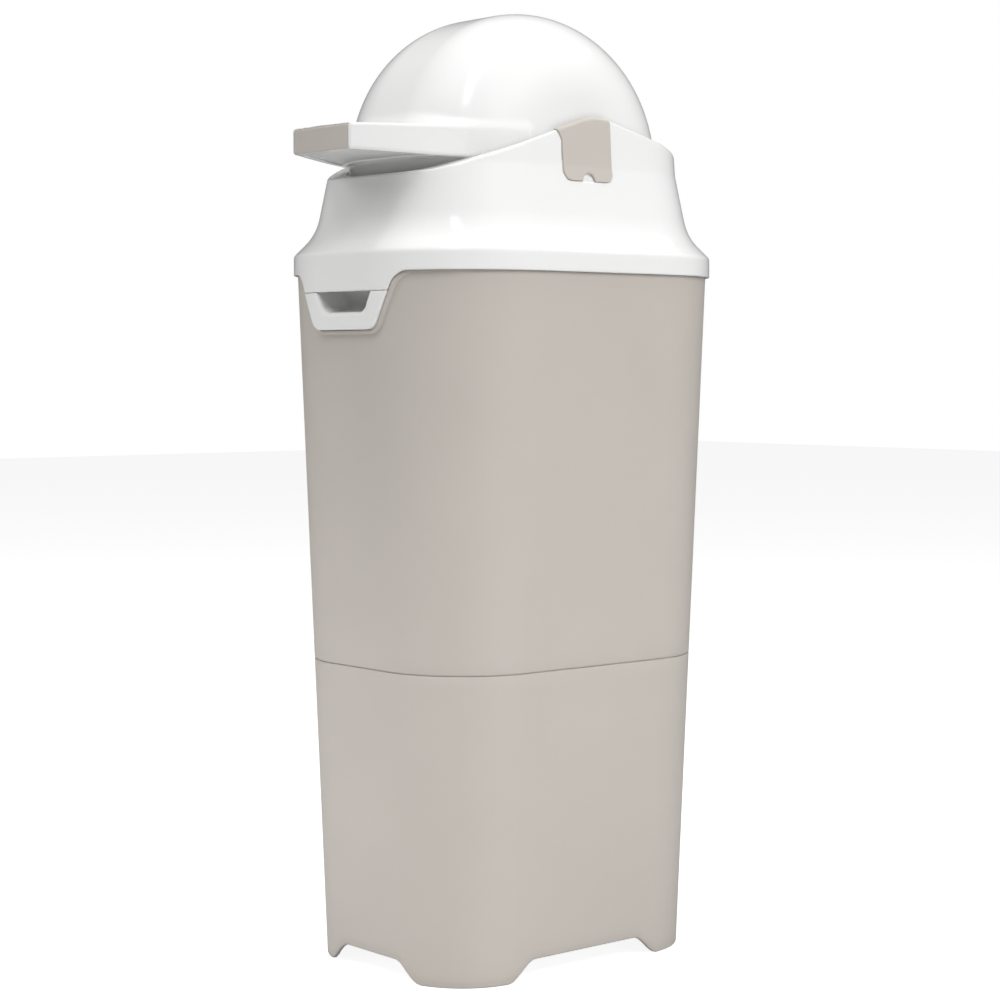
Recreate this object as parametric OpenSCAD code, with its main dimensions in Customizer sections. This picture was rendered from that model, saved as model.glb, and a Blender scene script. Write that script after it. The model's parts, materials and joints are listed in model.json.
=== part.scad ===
// Nappy bin: a tall two-piece body, a bag ring, a hinged lid and a turning drum
// with a sliding piston in it. Millimetres. The origin is on the floor under
// the centre of the body, -Y is the front and +Z is up.

/* [Body] */
// Height of the body's top edge above the floor
rim_z = 516.7; // [460:1:600]
// Width of the body at its top edge
rim_w = 236.4; // [228:0.4:260]
// Depth of the body at its top edge
rim_d = 300.8; // [290:0.4:330]
// Corner radius of the body at its top edge
rim_r = 87; // [80:1:95]
// Width of the body at the floor
base_w = 189; // [170:1:220]
// Depth of the body at the floor
base_d = 257; // [230:1:290]
// Corner radius of the body at the floor
base_r = 58.5; // [40:0.5:80]
// Wall thickness of the two body shells
wall = 2.5; // [2:0.1:3.5]
// Height of the joint between the lower and the upper shell
seam_z = 227.7; // [150:0.1:320]
// Open groove that shows at that joint
seam_gap = 0.7; // [0.4:0.1:1.5]
// Height of the tongue that locates the upper shell on the lower one
tongue_h = 12; // [6:1:20]

/* [Feet] */
// Height of the floor panel's underside
floor_z = 17; // [16:0.5:30]
// Height of the arches between the feet
arch_h = 15; // [8:0.5:15.5]
// Width of the front and rear arches at their top
arch_w = 58; // [40:1:80]
// Width of the side arches at their top
side_arch_w = 99; // [60:1:120]
// Width that each arch's S-curve takes at either end
arch_run = 26; // [10:1:30]
// Width of the turned-in lip that the feet stand on
foot_lip = 9; // [5:0.5:14]

/* [Bag ring and pull] */
// Height of the lid's tab over the pocket
tab_h = 13.7; // [10:0.1:18]
// Width of the pull at the tab
pull_w = 99; // [92:1:106]
// Width of the pull at its bottom edge, as if its corners were sharp
pull_low_w = 70; // [62:1:76]
// Height of the pull below the tab
pull_h = 27.8; // [25:0.1:34]
// Corner radius at the bottom of the pull
pull_r = 12; // [8:0.5:14]
// Width of the pull's frame beside the pocket
pull_band = 15.5; // [13:0.5:18]
// Height of the pull's frame below the pocket
pull_foot = 12.5; // [10:0.5:14]
// Corner radius at the bottom of the pocket
pocket_r = 10; // [6:0.5:12]
// Width of the bevel round the pocket's mouth
pocket_bevel = 3; // [1:0.5:4]
// Width that the hollow curve takes at either end of the tab
tab_run = 17; // [12:1:22]
// Width of the body's raised rim round the pull and the tab
pull_rim_w = 2.2; // [1.5:0.1:3]
// Depth of the finger pocket behind the pull's face
pocket_depth = 27; // [20:1:32]
// Thickness of the bag ring's walls
ring_t = 2; // [1.6:0.1:2.2]
// Height of the ring's upstand that the bag's edge goes over
ring_up = 7.3; // [6:0.1:9]
// Depth of the ring's locating skirt inside the body
ring_down = 12; // [8:1:16]

/* [Lid] */
// How far the lid's skirt stands outside the body
skirt_out = 3; // [2.8:0.1:4]
// Height of the lid's skirt
skirt_h = 14.5; // [12:0.5:18]
// Wall thickness of the lid
lid_wall = 2.5; // [2:0.1:2.8]
// Width of the flare's 45 degree foot above the skirt
flare_run = 7; // [4:0.5:9]
// Radius of the hollow curve above that foot
flare_r = 40; // [34:1:44]
// How far the side walls stand in from the skirt at the eaves
eave_in = 26.6; // [26:0.1:27.6]
// Height of the eaves above the body's top edge
eave_h = 77.8; // [72:0.1:80]
// How far the side walls stand in from the skirt at the ridge
ridge_in = 29; // [28:0.1:29.6]
// Height of the roof's ridge above the drum's axis
ridge_h = 33.3; // [29:0.1:35]
// Place of the ridge behind the drum's axis
ridge_y = 13; // [0:1:20]
// Radius of the ridge
ridge_r = 60; // [30:1:80]
// Slope of the roof in front of the ridge
front_slope = 19; // [17:0.5:20]
// Slope of the roof behind the ridge
rear_slope = 14; // [13:0.5:16]
// From the body's rear edge to the centre of the hinge pin
hinge_back = 16.6; // [14.6:0.1:20]
// Height of the hinge pin above the body's top edge
hinge_up = 3.3; // [2:0.1:5]
// Radius of the hinge knuckles
knuckle_r = 7; // [5.5:0.5:7.5]
// Radius of the hinge pin
pin_r = 2.5; // [2:0.1:3]
// Width of the lid's knuckle
knuckle_w = 39; // [24:1:44]
// Width of each knuckle on the body
ear_w = 14; // [8:1:15]

/* [Drum] */
// Height of the drum's axis above the body's top edge
axis_up = 81; // [80.5:0.1:85]
// From the lid's wall at the eaves to the drum's rim
rim_room = 11.3; // [10:0.1:14]
// From the lid's wall at the eaves to each cheek of the drum
cheek_room = 8.1; // [7.8:0.1:11]
// Radius of the drum's rounded edges
drum_edge_r = 68; // [60:1:72]
// Wall thickness of the drum
drum_wall = 2.5; // [2:0.1:3]
// Running gap between the drum and the lid
drum_gap = 2.5; // [2:0.1:2.8]
// How far the drum reaches below its axis
drum_low = 9.7; // [9.2:0.1:12]
// Thickness of the deck that closes the drum
deck_t = 3; // [2:0.5:4]

/* [Handle] */
// Reach of the handle's corners in front of the drum's axis
handle_reach = 172; // [165:1:180]
// Bow of the handle's front edge beyond its corners
handle_bow = 2; // [1:0.5:4]
// Width of the handle at its tip
handle_tip_w = 69; // [60:1:80]
// Height of the handle's underside above the drum's axis
handle_low = 4.3; // [2:0.1:6]
// Thickness of the handle
handle_t = 19; // [16:0.5:21]
// Thickness of the coloured grip on the handle's tip
grip_t = 3; // [2:0.5:4]
// Width of the white corner beside the grip
grip_side = 1.6; // [1:0.1:3]
// Thickness of the white plastic above the grip
grip_cover = 1; // [0.8:0.1:2]
// Width of the rim round the handle's hollow underside
rim_band = 6; // [4:0.5:9]
// Depth of the recess between that rim and the panel
panel_up = 2.5; // [1:0.5:5]

/* [Chamber and piston] */
// From the drum's cheek to the bore of the chamber
chamber_room = 18.5; // [18:0.5:26]
// Wall thickness of the chamber
chamber_wall = 2; // [1.6:0.1:2.4]
// From the inside of the dome to the top corner of the chamber
dome_room = 3.4; // [3:0.1:15]
// Width of the flange at the foot of the chamber
flange_w = 3; // [2:0.5:4]
// Radius of the vent in the top of the chamber
vent_r = 5; // [2:0.5:8]
// Height of the piston
piston_h = 16; // [12:1:22]
// Gap between the piston and the chamber
piston_gap = 0.6; // [0.4:0.1:1]
// Thickness of the steel weight in the piston
weight_t = 6; // [3:0.5:7]
// Radius of the steel weight
weight_r = 50; // [30:1:56]

/* [Clips and axle pins] */
// Width of a clip
clip_w = 48; // [40:1:54]
// How far a clip reaches below the drum's axis
clip_low = 13.7; // [12:0.1:18]
// How far a clip stands proud of the lid
clip_proud = 0.9; // [0.5:0.1:1.3]
// How deep a clip sits in the lid's wall
clip_deep = 1.2; // [0.9:0.1:1.4]
// Corner radius at the clip's foot
clip_r = 7; // [4:0.5:10]
// How far the clip's front edge runs forward at the ridge's height
clip_toe = 10; // [4:1:14]
// Height below the ridge at which that edge starts to run forward
clip_toe_h = 18; // [14:1:22]
// Radius of the finger notch in the clip's foot
notch_r = 6; // [4:0.5:8]
// Radius of the axle pins
axle_r = 6; // [5:0.25:7]
// Length of the axle pins inside the drum
axle_grip = 12; // [8:0.5:12]

/* [Hidden] */

taupe = [0.77, 0.74, 0.71];
white = [0.95, 0.95, 0.94];
grey = [0.55, 0.55, 0.55];
dark_rubber = [0.16, 0.16, 0.17];
steel = [0.72, 0.73, 0.75];

$fn = 96;
far = 400;
thin = 0.01;
curve_steps = 10;

// Clearances: pieces that are pressed together, faces, edges, and pins in their bores
fit = 0.15;
face_gap = 0.2;
slip = 0.3;
bush_gap = 0.05;

// Body sections
function at(z, low, top) = low + (top - low) * z / rim_z;
tongue_t = 2;
tongue_out = -(wall + fit);
tongue_in = tongue_out - tongue_t;
ring_gap = 0.9;
ring_in = -(wall + ring_gap);
pull_rim_back = 0.8;
ear_drop = 30;
ear_under = 1.5;

// Pull, pocket and tab, whose sides all lean alike
split_z = rim_z - tab_h;
pull_gap = 0.4;
pull_lean = (pull_w - pull_low_w) / 2 / pull_h;
pull_tilt = atan(pull_lean);
pocket_half = pull_w / 2 - pull_band / cos(pull_tilt);
tab_end = pull_w / 2 + tab_run;
tab_r = (tab_run - pull_lean * tab_h) / (1 / cos(pull_tilt) - pull_lean);

// Lid sections, measured in from the skirt
corner_x = rim_w / 2 - rim_r;
corner_y = rim_d / 2 - rim_r;
skirt_r = rim_r + skirt_out;
skirt_inner = skirt_out - lid_wall;
flare_z = rim_z + skirt_h;
flare_start = 42;
wall_lean = 79;
eave_z = rim_z + eave_h;
axis_z = rim_z + axis_up;
ridge_z = axis_z + ridge_h;
flare_steps = 8;
function flare_d(a) = flare_run + flare_r * (sin(a) - sin(flare_start));
function flare_h(a) = flare_run + flare_r * (cos(flare_start) - cos(a));
lid_top = ridge_z + lid_wall;
lid_curve = concat(
    [[0, rim_z], [0, flare_z]],
    [for (i = [0 : flare_steps])
        let (a = flare_start + (wall_lean - flare_start) * i / flare_steps)
        [flare_d(a), flare_z + flare_h(a)]],
    [[eave_in, eave_z], [ridge_in, lid_top]]
);

// The drum takes its width and radius from the lid around it
drum_r = rim_d / 2 + skirt_out - eave_in - rim_room;
drum_hw = rim_w / 2 + skirt_out - eave_in - cheek_room;

// Roof line from the front eaves over the ridge to the rear
lip_y = -(drum_r + drum_gap);
ridge_steps = 8;
ridge_arc = [for (i = [0 : ridge_steps])
    let (a = -front_slope + (front_slope + rear_slope) * i / ridge_steps)
    [ridge_y + ridge_r * sin(a), ridge_z - ridge_r + ridge_r * cos(a)]];
front_tangent = ridge_arc[0];
rear_tangent = ridge_arc[ridge_steps];
lip_z = front_tangent[1] - (front_tangent[0] - lip_y) * tan(front_slope);
lip_slope = 8;
roof_line = concat(
    [[-far, lip_z - (far + lip_y) * tan(lip_slope)], [lip_y, lip_z]],
    ridge_arc,
    [[far, rear_tangent[1] - (far - rear_tangent[0]) * tan(rear_slope)]]
);

// Lid furniture
hinge_y = rim_d / 2 + hinge_back;
hinge_z = rim_z + hinge_up;
gasket_t = 2;
gasket_over = 1;
plate_z = rim_z + ring_up + gasket_t;
plate_t = 2.5;
well_t = 2.5;
seal_h = 4;
seal_back = 0.5;
seal_under = 2.1;
well_top = lip_z - lid_wall - seal_under - seal_h;
pad_over = 3;
boss_r = 3.5;
screw_r = 1.5;
screw_head_r = 3.4;
screw_head_h = 2.4;
screw_l = 14;
boss_in = 29;
boss_x = corner_x + (rim_r - boss_in) * cos(45);
boss_y = corner_y + (rim_r - boss_in) * sin(45);

// Drum furniture
drum_bottom = axis_z - drum_low;
deck_top = drum_bottom + deck_t;
drum_boss_side = 34.5;
drum_boss_end = 31.5;
drum_boss_x = drum_hw - drum_boss_side;
drum_boss_y = drum_r - drum_boss_end;
drum_boss_r = 4.5;
bush_t = 2.5;
bush_l = axle_grip;
hub_wall = 3;
hub_end = 0.5;
hub_r = axle_r + bush_t + hub_wall;
washer_w = 4;
axle_end_x = skirt_r + corner_x - eave_in - clip_deep;

// Handle: its side edges swell out between the tip's corners and the drum
handle_z = axis_z + handle_low;
handle_end = [drum_hw - 0.5, -50];
handle_tip = [handle_tip_w / 2, -handle_reach];
handle_swell = [0.534, 0.393];
handle_mid = [for (i = [0, 1]) handle_tip[i] + handle_swell[i] * (handle_end[i] - handle_tip[i])];
handle_side = [cos(26.5), -sin(26.5)];
handle_steps = 12;
handle_root = 0.5;
panel_t = 2;

// Chamber and piston
chamber_r = drum_hw - chamber_room;
tube_r = chamber_r + chamber_wall;
dome_inner = drum_r - drum_wall;
tube_top = axis_z + sqrt(dome_inner * dome_inner - tube_r * tube_r) - dome_room;
chamber_h = tube_top - deck_top;
mouth_t = 3;
mouth_lip = 4;
mouth_over = 8;
piston_z = drum_bottom + slip;
piston_r = chamber_r - piston_gap;
piston_wall = 2;
seal_z = piston_z + 6;
seal_groove = 2.4;
weight_rim = 4;
weight_rim_t = 2;

// Rounded rectangle from true circles and straight edges
module rounded(hw, hd, r) {
    square([2 * hw, 2 * (hd - r)], center = true);
    square([2 * (hw - r), 2 * hd], center = true);
    for (sx = [-1, 1], sy = [-1, 1])
        translate([sx * (hw - r), sy * (hd - r)]) circle(r);
}

// Plan of the body's top edge, grown by o
module rim_plan(o) {
    rounded(rim_w / 2 + o, rim_d / 2 + o, rim_r + o);
}

// Thin slice of the tapered body at height z, grown by o
module body_slice(z, o) {
    linear_extrude(thin)
        rounded(at(z, base_w, rim_w) / 2 + o, at(z, base_d, rim_d) / 2 + o,
            at(z, base_r, rim_r) + o);
}

// Solid stretch of the tapered body between two heights
module body_form(z0, z1, o) {
    hull() {
        translate([0, 0, z0]) body_slice(z0, o);
        translate([0, 0, z1 - thin]) body_slice(z1, o);
    }
}

// Extrudes a drawing in X and Z along Y, from y0 to y1
module along_y(y0, y1) {
    translate([0, y1, 0]) rotate([90, 0, 0]) linear_extrude(y1 - y0) children();
}

// Extrudes a drawing in Y and Z along X, from x0 to x1
module along_x(x0, x1) {
    translate([x0, 0, 0]) rotate([90, 0, 90]) linear_extrude(x1 - x0) children();
}

// Round bar along X
module bar_x(x0, x1, y, z, r) {
    translate([x0, y, z]) rotate([0, 90, 0]) cylinder(h = x1 - x0, r = r);
}

// Arch between two feet: flat on top with an S-curve at either end
module arch(w) {
    right = [for (i = [0 : curve_steps])
        [w / 2 + arch_run * i / curve_steps, arch_h * (1 + cos(180 * i / curve_steps)) / 2]];
    left = [for (i = [curve_steps : -1 : 0]) [-right[i][0], right[i][1]]];
    polygon(concat([[-w / 2 - arch_run, -1]], left, right, [[w / 2 + arch_run, -1]]));
}

// Lower corner of a D, grown by o: round, and below a side that leans as the pull's does.
// half is the D's half width at the tab's foot and low the height of its bottom
function d_corner(half, low, r, o) =
    let (x = half - pull_lean * (split_z - low - r) - r / cos(pull_tilt))
    [for (i = [0 : curve_steps])
        let (a = (90 - pull_tilt) * i / curve_steps - 90)
        [x + (r + o) * cos(a), low + r + (r + o) * sin(a)]];

// Outline from its right half, listed upwards, and that half's mirror image
module both_halves(right) {
    polygon(concat(right, [for (i = [len(right) - 1 : -1 : 0]) [-right[i][0], right[i][1]]]));
}

// The pull and the lid's tab above it, grown by o: a D whose sides lean up to a hollow
// curve that runs out level under the skirt
module boss_outline(o) {
    both_halves(concat(
        d_corner(pull_w / 2, split_z - pull_h, pull_r, o),
        [for (i = [0 : curve_steps])
            let (a = 180 - pull_tilt - (90 - pull_tilt) * i / curve_steps)
            [tab_end + (tab_r - o) * cos(a), rim_z - tab_r + (tab_r - o) * sin(a)]],
        [[tab_end, rim_z + 1]]
    ));
}

// The finger pocket, grown by o, which goes on up behind the tab
module pocket_outline(o, top) {
    both_halves(concat(
        d_corner(pocket_half, split_z - pull_h + pull_foot, pocket_r, o),
        [[pocket_half + pull_lean * (top - split_z) + o / cos(pull_tilt), top]]
    ));
}

module lower_body() {
    color(taupe)
    difference() {
        union() {
            body_form(0, seam_z, 0);
            body_form(seam_z - tongue_h, seam_z + tongue_h, tongue_out);
        }
        body_form(floor_z + wall, seam_z - tongue_h, -wall);
        body_form(seam_z - tongue_h - thin, seam_z + tongue_h + 1, tongue_in);
        body_form(wall, floor_z, -wall);
        body_form(-1, wall + thin, -foot_lip);
        along_y(-far, far) arch(arch_w);
        along_x(-far, far) arch(side_arch_w);
    }
}

module upper_body() {
    ear_x = knuckle_w / 2 + slip;
    rear = rim_d / 2;
    color(taupe)
    difference() {
        union() {
            difference() {
                body_form(seam_z + seam_gap, rim_z, 0);
                body_form(seam_z, rim_z + 1, -wall);
            }
            // Raised rim round the pull and the tab
            intersection() {
                difference() {
                    body_form(split_z - far / 4, rim_z, skirt_out - pull_rim_back);
                    body_form(split_z - far / 4 - 1, rim_z + 1, -wall / 2);
                }
                along_y(-far, 0) difference() {
                    boss_outline(pull_gap + pull_rim_w);
                    boss_outline(pull_gap);
                }
            }
            // Foot of the joint, which stands on the lower shell
            difference() {
                body_form(seam_z, seam_z + seam_gap, -wall / 2);
                body_form(seam_z - 1, seam_z + seam_gap + 1, -wall);
            }
            for (x = [ear_x, -ear_x - ear_w])
                along_x(x, x + ear_w) {
                    translate([hinge_y, hinge_z]) circle(knuckle_r);
                    polygon([
                        [rear - wall, hinge_z - ear_drop],
                        [hinge_y + knuckle_r * cos(45), hinge_z - knuckle_r * sin(45)],
                        [hinge_y, hinge_z], [hinge_y - knuckle_r, rim_z - ear_under],
                        [rear - wall, rim_z - ear_under]
                    ]);
                }
        }
        along_y(-far, 0) pocket_outline(ring_t + pull_gap, rim_z + 1);
        bar_x(-far, far, hinge_y, hinge_z, pin_r + bush_gap);
    }
}

module bag_ring() {
    front = -rim_d / 2 - skirt_out;
    back = front + pocket_depth;
    color(white)
    difference() {
        union() {
            // Flange, locating skirt and upstand
            difference() {
                union() {
                    translate([0, 0, rim_z]) linear_extrude(ring_t) rim_plan(0);
                    translate([0, 0, rim_z - ring_down])
                        linear_extrude(ring_down + ring_up) rim_plan(ring_in);
                }
                translate([0, 0, rim_z - ring_down - 1]) linear_extrude(far) rim_plan(ring_in - ring_t);
            }
            // Finger pocket, which stops at the body's edge so as to clear the lid's tab
            intersection() {
                along_y(front, back) pocket_outline(ring_t, rim_z + ring_t);
                translate([0, 0, split_z - far / 4]) linear_extrude(far) rim_plan(0);
            }
            // Face of the pull, upright and flush with the lid's tab
            intersection() {
                difference() {
                    translate([0, 0, split_z - far / 4])
                        linear_extrude(far / 4 - pull_gap) rim_plan(skirt_out);
                    body_form(split_z - far / 4 - 1, split_z + 1, slip);
                }
                along_y(-far, 0) boss_outline(0);
            }
        }
        along_y(-far, back - ring_t) pocket_outline(0, rim_z - face_gap);
        // Bevel round the pocket's mouth, as a funnel that meets its walls
        hull()
            for (i = [0, 1])
                along_y(front + 2 * i * pocket_bevel - thin, front + 2 * i * pocket_bevel)
                    pocket_outline((1 - 2 * i) * pocket_bevel, split_z);
    }
}

module hinge_pin() {
    reach = knuckle_w / 2 + slip + ear_w;
    color(steel) bar_x(-reach, reach, hinge_y, hinge_z, pin_r);
}

// Solid with the lid's outer form, grown by o
module lid_form(o) {
    side = [for (p = lid_curve) [skirt_r - p[0] + o, p[1]]];
    foot = side[0][1];
    top = side[len(side) - 1][1];
    quarter = concat([[0, foot]], side, [[0, top]]);
    for (i = [0 : 3])
        translate([(i == 0 || i == 3 ? 1 : -1) * corner_x, (i < 2 ? 1 : -1) * corner_y, 0])
            rotate([0, 0, 90 * i]) rotate_extrude(angle = 90) polygon(quarter);
    for (a = [0, 180]) {
        rotate([0, 0, a]) translate([corner_x, 0, 0]) along_y(-corner_y, corner_y) polygon(quarter);
        rotate([0, 0, a]) translate([0, corner_y, 0]) along_x(-corner_x, corner_x) polygon(quarter);
    }
    translate([-corner_x, -corner_y, foot]) cube([2 * corner_x, 2 * corner_y, top - foot]);
}

// The straight stretch of one side wall and all that lies inside it, grown by o
module side_form(s, o) {
    wall_line = [for (p = lid_curve) [s * (corner_x + skirt_r - p[0] + o), p[1]]];
    along_y(-corner_y, corner_y) polygon(concat([[0, rim_z]], wall_line, [[0, lid_top]]));
}

// Everything under the roof line, moved up by o
module under_roof(o) {
    along_x(-far, far) translate([0, o])
        polygon(concat([[-far, 0]], roof_line, [[far, 0]]));
}

// Solid that the drum fills as it turns, grown by o
module drum_form(o) {
    rotate_about_axis() intersection() {
        rounded(drum_r + o, drum_hw + o, drum_edge_r + o);
        translate([0, -far]) square([far, 2 * far]);
    }
}

module rotate_about_axis() {
    translate([0, 0, axis_z]) rotate([0, 90, 0]) rotate_extrude() children();
}

module lid_cover() {
    color(white)
    difference() {
        union() {
            difference() {
                intersection() {
                    lid_form(0);
                    under_roof(0);
                }
                intersection() {
                    lid_form(-lid_wall);
                    under_roof(-lid_wall);
                }
                translate([0, 0, rim_z - thin]) linear_extrude(skirt_h) rim_plan(skirt_inner);
            }
            // Pads that the axle pins and the clips bear on
            for (s = [-1, 1])
                difference() {
                    intersection() {
                        side_form(s, -lid_wall / 2);
                        under_roof(-lid_wall / 2);
                        along_x(-far, far) translate([-clip_w / 2 - pad_over, well_top])
                            square([clip_w + 2 * pad_over, far]);
                    }
                    translate([-drum_hw - drum_gap, -far / 2, 0])
                        cube([2 * (drum_hw + drum_gap), far, 2 * far]);
                }
            // Screw posts for the inner frame
            intersection() {
                under_roof(-lid_wall / 2);
                for (sx = [-1, 1], sy = [-1, 1])
                    translate([sx * boss_x, sy * boss_y, plate_z + plate_t])
                        cylinder(h = far, r = boss_r);
            }
            // Tab over the finger pocket
            intersection() {
                translate([0, 0, split_z]) linear_extrude(tab_h + 1) difference() {
                    rim_plan(skirt_out);
                    rim_plan(skirt_inner);
                }
                along_y(-far, 0) boss_outline(0);
            }
            // Hinge knuckle
            along_x(-knuckle_w / 2, knuckle_w / 2) {
                translate([hinge_y, hinge_z]) circle(knuckle_r);
                polygon([
                    [rim_d / 2 + skirt_out - lid_wall / 2, rim_z],
                    [hinge_y, hinge_z - knuckle_r + thin], [hinge_y, hinge_z + knuckle_r - thin],
                    [rim_d / 2 + skirt_out - lid_wall / 2, flare_z]
                ]);
            }
        }
        drum_form(drum_gap);
        for (s = [-1, 1]) {
            clip_seat(s, face_gap);
            bar_x(s > 0 ? 0 : -far, s > 0 ? far : 0, 0, axis_z, axle_r + face_gap);
            for (sy = [-1, 1])
                translate([s * boss_x, sy * boss_y, 0])
                    cylinder(h = plate_z + screw_l, r = screw_r + bush_gap);
        }
        bar_x(-far, far, hinge_y, hinge_z, pin_r + bush_gap);
    }
}

// The drum's well, the tray that clamps the bag and the seats for the seals
module lid_inner_frame() {
    color(white)
    difference() {
        union() {
            translate([0, 0, plate_z]) linear_extrude(plate_t) rim_plan(-face_gap);
            intersection() {
                drum_form(drum_gap + well_t);
                translate([-far, -far, plate_z]) cube([2 * far, 2 * far, well_top - plate_z]);
            }
        }
        drum_form(drum_gap);
        for (sx = [-1, 1], sy = [-1, 1])
            translate([sx * boss_x, sy * boss_y, plate_z - 1])
                cylinder(h = plate_t + 2, r = screw_r + face_gap);
    }
}

module lid_gasket() {
    color(dark_rubber)
    translate([0, 0, rim_z + ring_up + face_gap]) linear_extrude(gasket_t - face_gap) difference() {
        rim_plan(ring_in + gasket_over);
        rim_plan(ring_in - ring_t - gasket_over);
    }
}

// Screw with its head down and its tip up
module screw(l) {
    cylinder(h = screw_head_h, r = screw_head_r);
    cylinder(h = screw_head_h + l, r = screw_r);
}

module lid_screws() {
    color(steel)
    for (sx = [-1, 1], sy = [-1, 1])
        translate([sx * boss_x, sy * boss_y, plate_z - screw_head_h]) screw(screw_l - 1);
}

// Rubber lip on top of the well, along one end of the drum
module drum_seal(s) {
    end_y = drum_r / 2;
    color(dark_rubber)
    intersection() {
        difference() {
            drum_form(drum_gap + well_t - seal_back);
            drum_form(slip);
        }
        translate([-far, s > 0 ? end_y : -end_y - far, well_top])
            cube([2 * far, far, seal_h]);
    }
}

module front_drum_seal() {
    drum_seal(-1);
}

module rear_drum_seal() {
    drum_seal(1);
}

// Half of the handle's plan: from the tip's corner back to the drum, as a curve
function handle_edge(t, o) = let (
    p = (1 - t) * (1 - t) * handle_tip + 2 * t * (1 - t) * handle_mid + t * t * handle_end
) [p[0] + o * handle_side[0], p[1] + o * handle_side[1]];

// Plan of the handle, grown by o, with its front edge moved back by cut
module handle_plan(o, cut) {
    right = [for (i = [0 : handle_steps]) handle_edge(i / handle_steps, o)];
    tip_out = 2 * handle_bow;
    bow_r = (pow(handle_tip_w / 2, 2) + pow(handle_bow, 2)) / (2 * handle_bow);
    intersection() {
        polygon(concat(
            [[right[0][0] - tip_out / 2, right[0][1] - tip_out]],
            right,
            [for (i = [handle_steps : -1 : 0]) [-right[i][0], right[i][1]]],
            [[tip_out / 2 - right[0][0], right[0][1] - tip_out]]));
        translate([0, -handle_reach - handle_bow + bow_r + cut]) circle(bow_r, $fn = 360);
    }
}

// Hub of one axle pin inside the drum's cheek
module hub(s, r) {
    x0 = drum_hw - bush_l - hub_end;
    bar_x(s > 0 ? x0 : -drum_hw, s > 0 ? drum_hw : -x0, 0, axis_z, r);
}

module drum_dome() {
    color(white)
    difference() {
        union() {
            intersection() {
                drum_form(0);
                translate([-far, -far, drum_bottom]) cube([2 * far, 2 * far, far]);
            }
            translate([0, 0, handle_z]) linear_extrude(handle_t) handle_plan(0, 0);
        }
        // Inside of the dome, with the hubs and the screw posts left standing
        difference() {
            intersection() {
                drum_form(-drum_wall);
                translate([-far, -far, drum_bottom - 1]) cube([2 * far, 2 * far, far]);
            }
            for (s = [-1, 1]) hub(s, hub_r);
            for (sx = [-1, 1], sy = [-1, 1])
                translate([sx * drum_boss_x, sy * drum_boss_y, deck_top])
                    cylinder(h = far, r = drum_boss_r);
        }
        // Hollow underside of the handle
        difference() {
            translate([0, 0, handle_z - 1])
                linear_extrude(handle_t + 1 - drum_wall) handle_plan(-rim_band, grip_t + drum_wall);
            drum_form(handle_root);
        }
        // Seat of the grip
        translate([0, 0, handle_z - 1]) linear_extrude(handle_t + 1 - grip_cover) difference() {
            grip_strip(0);
            handle_plan(grip_t, grip_t);
        }
        for (s = [-1, 1])
            bar_x(s > 0 ? 0 : -far, s > 0 ? far : 0, 0, axis_z, axle_r + bush_t + bush_gap);
        for (sx = [-1, 1], sy = [-1, 1])
            translate([sx * drum_boss_x, sy * drum_boss_y, 0])
                cylinder(h = deck_top + screw_l, r = screw_r + bush_gap);
    }
}

// Strip that the grip takes across the front edge, with c left free at either end
module grip_strip(c) {
    half = handle_tip_w / 2 - grip_side - c;
    translate([-half, -far]) square([2 * half, far - handle_reach + 2 * grip_t]);
}

module grip_tip() {
    color(taupe)
    translate([0, 0, handle_z]) linear_extrude(handle_t - grip_cover - fit) intersection() {
        grip_strip(fit);
        difference() {
            handle_plan(grip_t, 0);
            handle_plan(2 * grip_t, grip_t - fit);
        }
    }
}

// Recessed panel that closes the handle from below
module handle_underplate() {
    color(white)
    translate([0, 0, handle_z + panel_up]) difference() {
        linear_extrude(panel_t) handle_plan(-rim_band - fit, grip_t + drum_wall + fit);
        translate([0, 0, -handle_z - panel_up]) drum_form(handle_root + fit);
    }
}

module drum_deck() {
    color(white)
    difference() {
        intersection() {
            drum_form(-drum_wall - fit);
            translate([-far, -far, drum_bottom]) cube([2 * far, 2 * far, deck_t]);
        }
        translate([0, 0, drum_bottom - 1]) cylinder(h = deck_t + 2, r = chamber_r);
        for (s = [-1, 1]) hub(s, hub_r + fit);
        for (sx = [-1, 1], sy = [-1, 1])
            translate([sx * drum_boss_x, sy * drum_boss_y, drum_bottom - 1])
                cylinder(h = deck_t + 2, r = screw_r + face_gap);
    }
}

module drum_screws() {
    color(steel)
    for (sx = [-1, 1], sy = [-1, 1])
        translate([sx * drum_boss_x, sy * drum_boss_y, drum_bottom - screw_head_h]) screw(screw_l);
}

module chamber_tube() {
    color(grey)
    translate([0, 0, deck_top]) difference() {
        union() {
            cylinder(h = chamber_h, r = tube_r);
            cylinder(h = chamber_wall, r = tube_r + flange_w);
        }
        translate([0, 0, -1]) cylinder(h = chamber_h + 1 - chamber_wall, r = chamber_r);
        cylinder(h = far, r = vent_r);
    }
}

// Ring screwed into the mouth, which keeps the piston in
module mouth_ring() {
    color(grey)
    translate([0, 0, drum_bottom - mouth_t]) difference() {
        cylinder(h = mouth_t, r = chamber_r + mouth_over);
        translate([0, 0, -1]) cylinder(h = mouth_t + 2, r = chamber_r - mouth_lip);
    }
}

module bush(s) {
    color(grey)
    difference() {
        bar_x(s > 0 ? drum_hw - bush_l : -drum_hw, s > 0 ? drum_hw : bush_l - drum_hw,
            0, axis_z, axle_r + bush_t);
        bar_x(-far, far, 0, axis_z, axle_r + bush_gap);
    }
}

module bush_left() {
    bush(-1);
}

module bush_right() {
    bush(1);
}

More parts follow.
